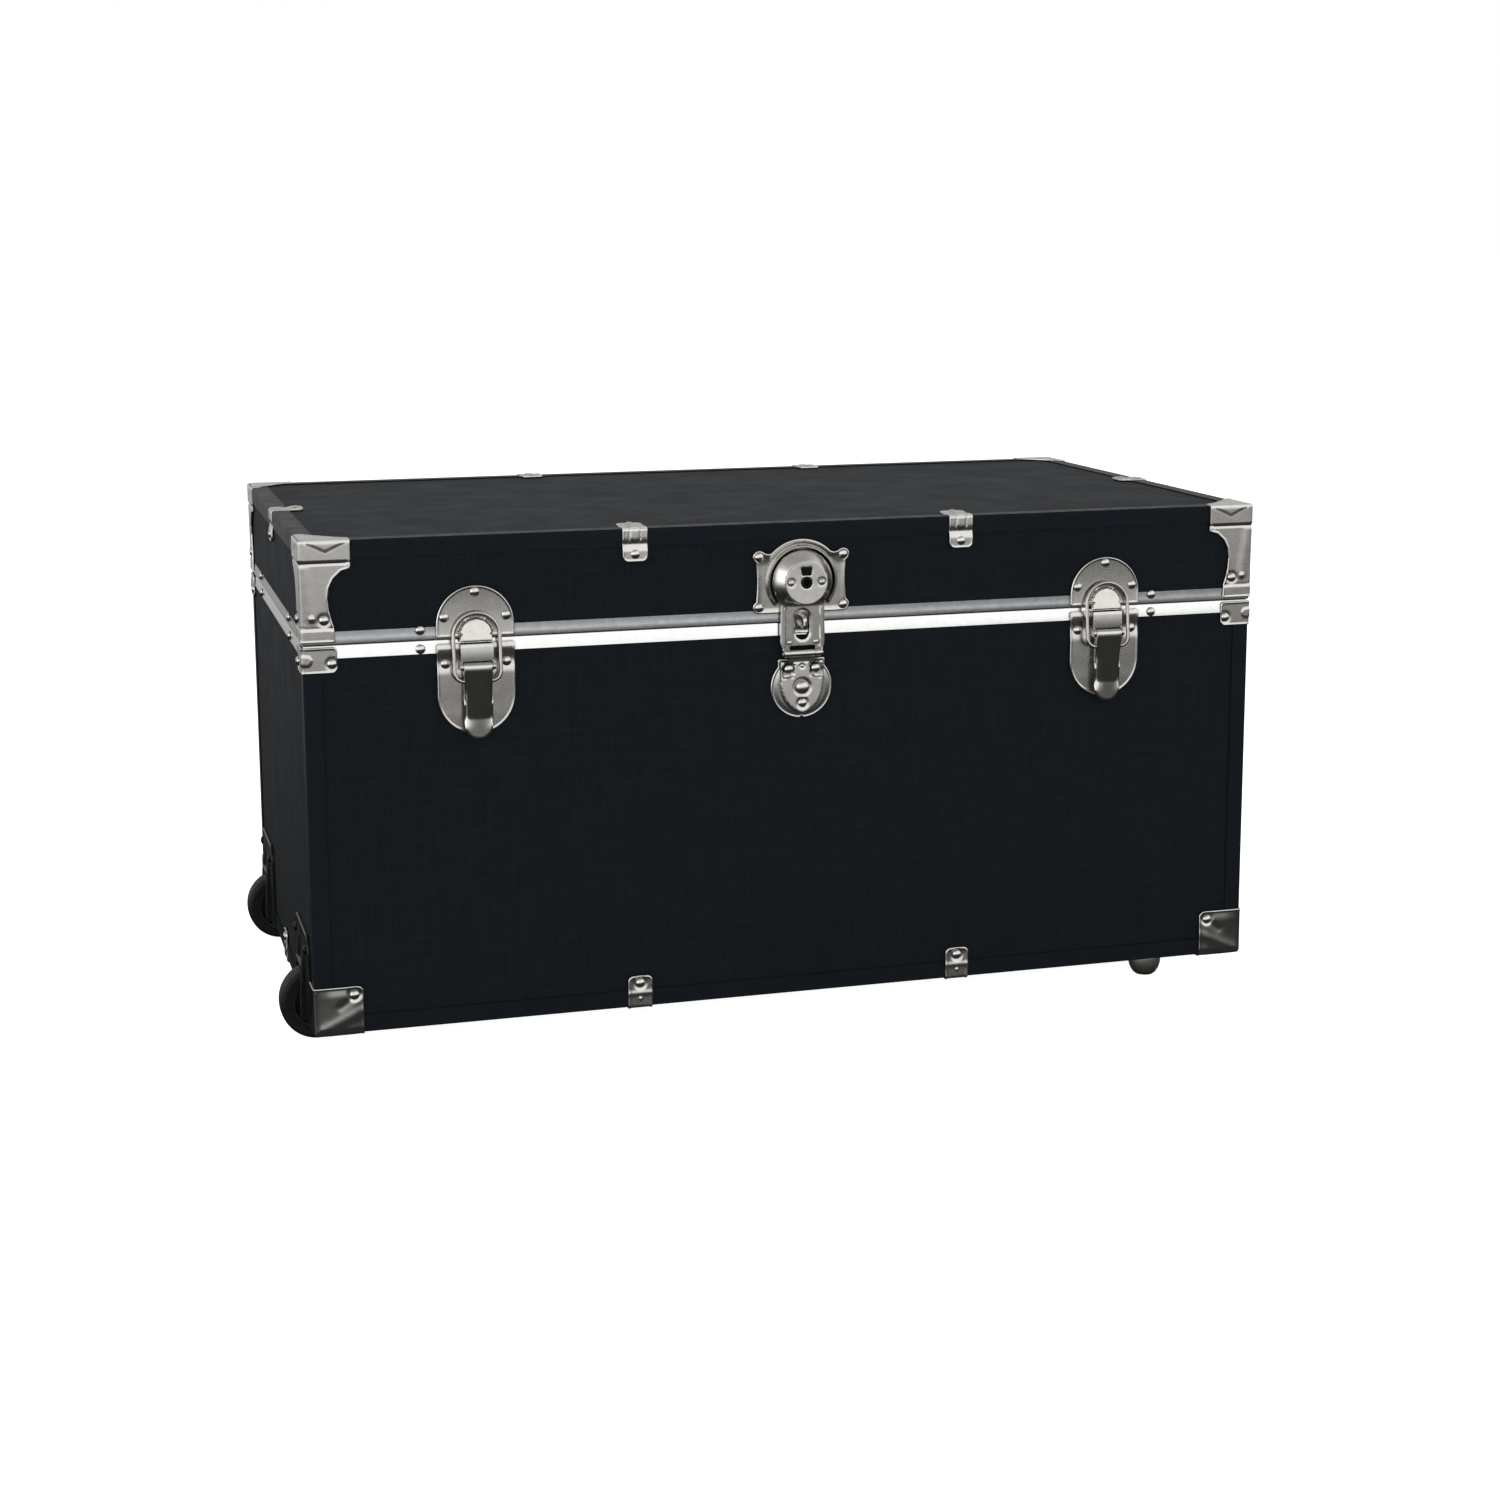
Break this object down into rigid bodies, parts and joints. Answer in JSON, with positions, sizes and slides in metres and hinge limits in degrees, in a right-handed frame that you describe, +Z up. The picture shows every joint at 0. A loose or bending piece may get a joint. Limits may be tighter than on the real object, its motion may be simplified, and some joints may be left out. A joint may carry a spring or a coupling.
{
  "type": "wheeled footlocker",
  "caption": "Low rectangular storage trunk with a rear-hinged lid, draw latches, a hasp lock, metal corners and edge clips, wheels at one end and a pull handle at the other",
  "frame": {"origin": "centre of the footprint, on the floor that the wheels and glides stand on", "axes": "+X along the case from the wheeled end to the handle end, +Y from the latch face to the hinges, +Z up"},
  "size_m": [0.829, 0.4556, 0.4105],
  "materials": {
    "vinyl_panel": "fibreboard under black vinyl with a fine linen grain, paper-lined inside",
    "binding": "black fibre edge binding, smooth with a soft sheen",
    "rim_strip": "bright rolled closure strip, fine lengthwise grain",
    "nickel_trim": "nickel-plated pressed steel, satin to bright",
    "lock_nickel": "nickel-plated pressed steel, satin",
    "polished_nickel": "polished nickel plate",
    "rivet_nickel": "polished nickel-plated dome heads",
    "steel_inner": "zinc-plated steel",
    "black_plug": "blackened key plug",
    "housing_plastic": "black moulded plastic, half gloss",
    "hub_plastic": "black moulded plastic",
    "tyre_rubber": "black tread rubber, matt",
    "glide_steel": "dark nickel-plated steel foot",
    "grip_plastic": "black moulded grip"
  },
  "bodies": {
    "case": {"body_back_panel": "vinyl_panel", "body_binding": "binding", "body_bottom_panel": "vinyl_panel", "body_corner_clamps": "nickel_trim", "body_front_panel": "vinyl_panel", "body_hardware_rivets": "rivet_nickel", "body_hinge_leaves": "nickel_trim", "body_left_panel": "vinyl_panel", "body_right_panel": "vinyl_panel", "body_rim": "rim_strip", "body_trim_rivets": "rivet_nickel", "bottom_corners": "nickel_trim", "bottom_edge_clips": "nickel_trim", "glide_front": "glide_steel", "glide_rear": "glide_steel", "glide_screws": "steel_inner", "handle_bracket_front": "nickel_trim", "handle_bracket_rear": "nickel_trim", "hasp_pin": "polished_nickel", "hinge_pins": "steel_inner", "latch_base_left": "lock_nickel", "latch_base_right": "lock_nickel", "latch_pins": "polished_nickel", "lower_lock_plate": "lock_nickel", "wheel_axle_front": "steel_inner", "wheel_axle_rear": "steel_inner", "wheel_housing_front": "housing_plastic", "wheel_housing_rear": "housing_plastic"},
    "lid": {"lid_top_panel": "vinyl_panel", "lid_front_rail": "vinyl_panel", "lid_back_rail": "vinyl_panel", "lid_left_rail": "vinyl_panel", "lid_right_rail": "vinyl_panel", "lid_binding": "binding", "lid_rim": "rim_strip", "lid_corners": "nickel_trim", "lid_edge_clips": "nickel_trim", "lid_trim_rivets": "rivet_nickel", "lid_hardware_rivets": "rivet_nickel", "latch_catch_left": "lock_nickel", "latch_catch_right": "lock_nickel", "strike_plate": "lock_nickel", "padlock_staple": "polished_nickel", "lid_hinge_leaves": "nickel_trim"},
    "lever_left": {"latch_lever_left": "polished_nickel"},
    "lever_right": {"latch_lever_right": "polished_nickel"},
    "bail_left": {"latch_bail_left": "polished_nickel"},
    "bail_right": {"latch_bail_right": "polished_nickel"},
    "hasp": {"hasp": "lock_nickel", "hasp_face": "lock_nickel"},
    "plug": {"lock_plug": "black_plug"},
    "bolt": {"lock_bolt": "steel_inner"},
    "wheel_front": {"wheel_hub_front": "hub_plastic", "wheel_tyre_front": "tyre_rubber"},
    "wheel_rear": {"wheel_hub_rear": "hub_plastic", "wheel_tyre_rear": "tyre_rubber"},
    "handle": {"handle_rod": "steel_inner", "handle_grip": "grip_plastic"}
  },
  "joints": [
    {"name": "lid_hinge", "type": "hinge", "parent": "case", "child": "lid", "pos_m": [0, 0.2245, 0.32775], "axis": [-1, 0, 0], "range_deg": [0, 105]},
    {"name": "hasp_hinge", "type": "hinge", "parent": "case", "child": "hasp", "pos_m": [0, -0.2145, 0.303], "axis": [1, 0, 0], "range_deg": [0, 150]},
    {"name": "plug_turn", "type": "hinge", "parent": "hasp", "child": "plug", "pos_m": [0, -0.2245, 0.361], "axis": [0, -1, 0], "range_deg": [0, 90]},
    {"name": "bolt_slide", "type": "slide", "parent": "hasp", "child": "bolt", "axis": [0, 0, 1], "range_m": [0, 0.004]},
    {"name": "wheel_front_spin", "type": "hinge", "parent": "case", "child": "wheel_front", "pos_m": [-0.3845, -0.1415, 0.03], "axis": [0, 1, 0], "continuous": true},
    {"name": "wheel_rear_spin", "type": "hinge", "parent": "case", "child": "wheel_rear", "pos_m": [-0.3845, 0.1525, 0.03], "axis": [0, 1, 0], "continuous": true},
    {"name": "handle_swing", "type": "hinge", "parent": "case", "child": "handle", "pos_m": [0.4055, 0.0055, 0.2355], "axis": [0, -1, 0], "range_deg": [0, 95]},
    {"name": "lever_left_swing", "type": "hinge", "parent": "case", "child": "lever_left", "pos_m": [-0.2617, -0.22, 0.307], "axis": [-1, 0, 0], "range_deg": [0, 140]},
    {"name": "bail_left_swing", "type": "hinge", "parent": "lever_left", "child": "bail_left", "pos_m": [-0.2617, -0.22, 0.296], "axis": [-1, 0, 0], "range_deg": [-162, 0]},
    {"name": "lever_right_swing", "type": "hinge", "parent": "case", "child": "lever_right", "pos_m": [0.2617, -0.22, 0.307], "axis": [-1, 0, 0], "range_deg": [0, 140]},
    {"name": "bail_right_swing", "type": "hinge", "parent": "lever_right", "child": "bail_right", "pos_m": [0.2617, -0.22, 0.296], "axis": [-1, 0, 0], "range_deg": [-162, 0]}
  ],
  "couplings": [
    {"joint": "plug_turn", "follows": "bolt_slide", "rad_per_m": 392.7},
    {"joint": "bail_left_swing", "follows": "lever_left_swing", "ratio": -1.15},
    {"joint": "bail_right_swing", "follows": "lever_right_swing", "ratio": -1.15}
  ]
}
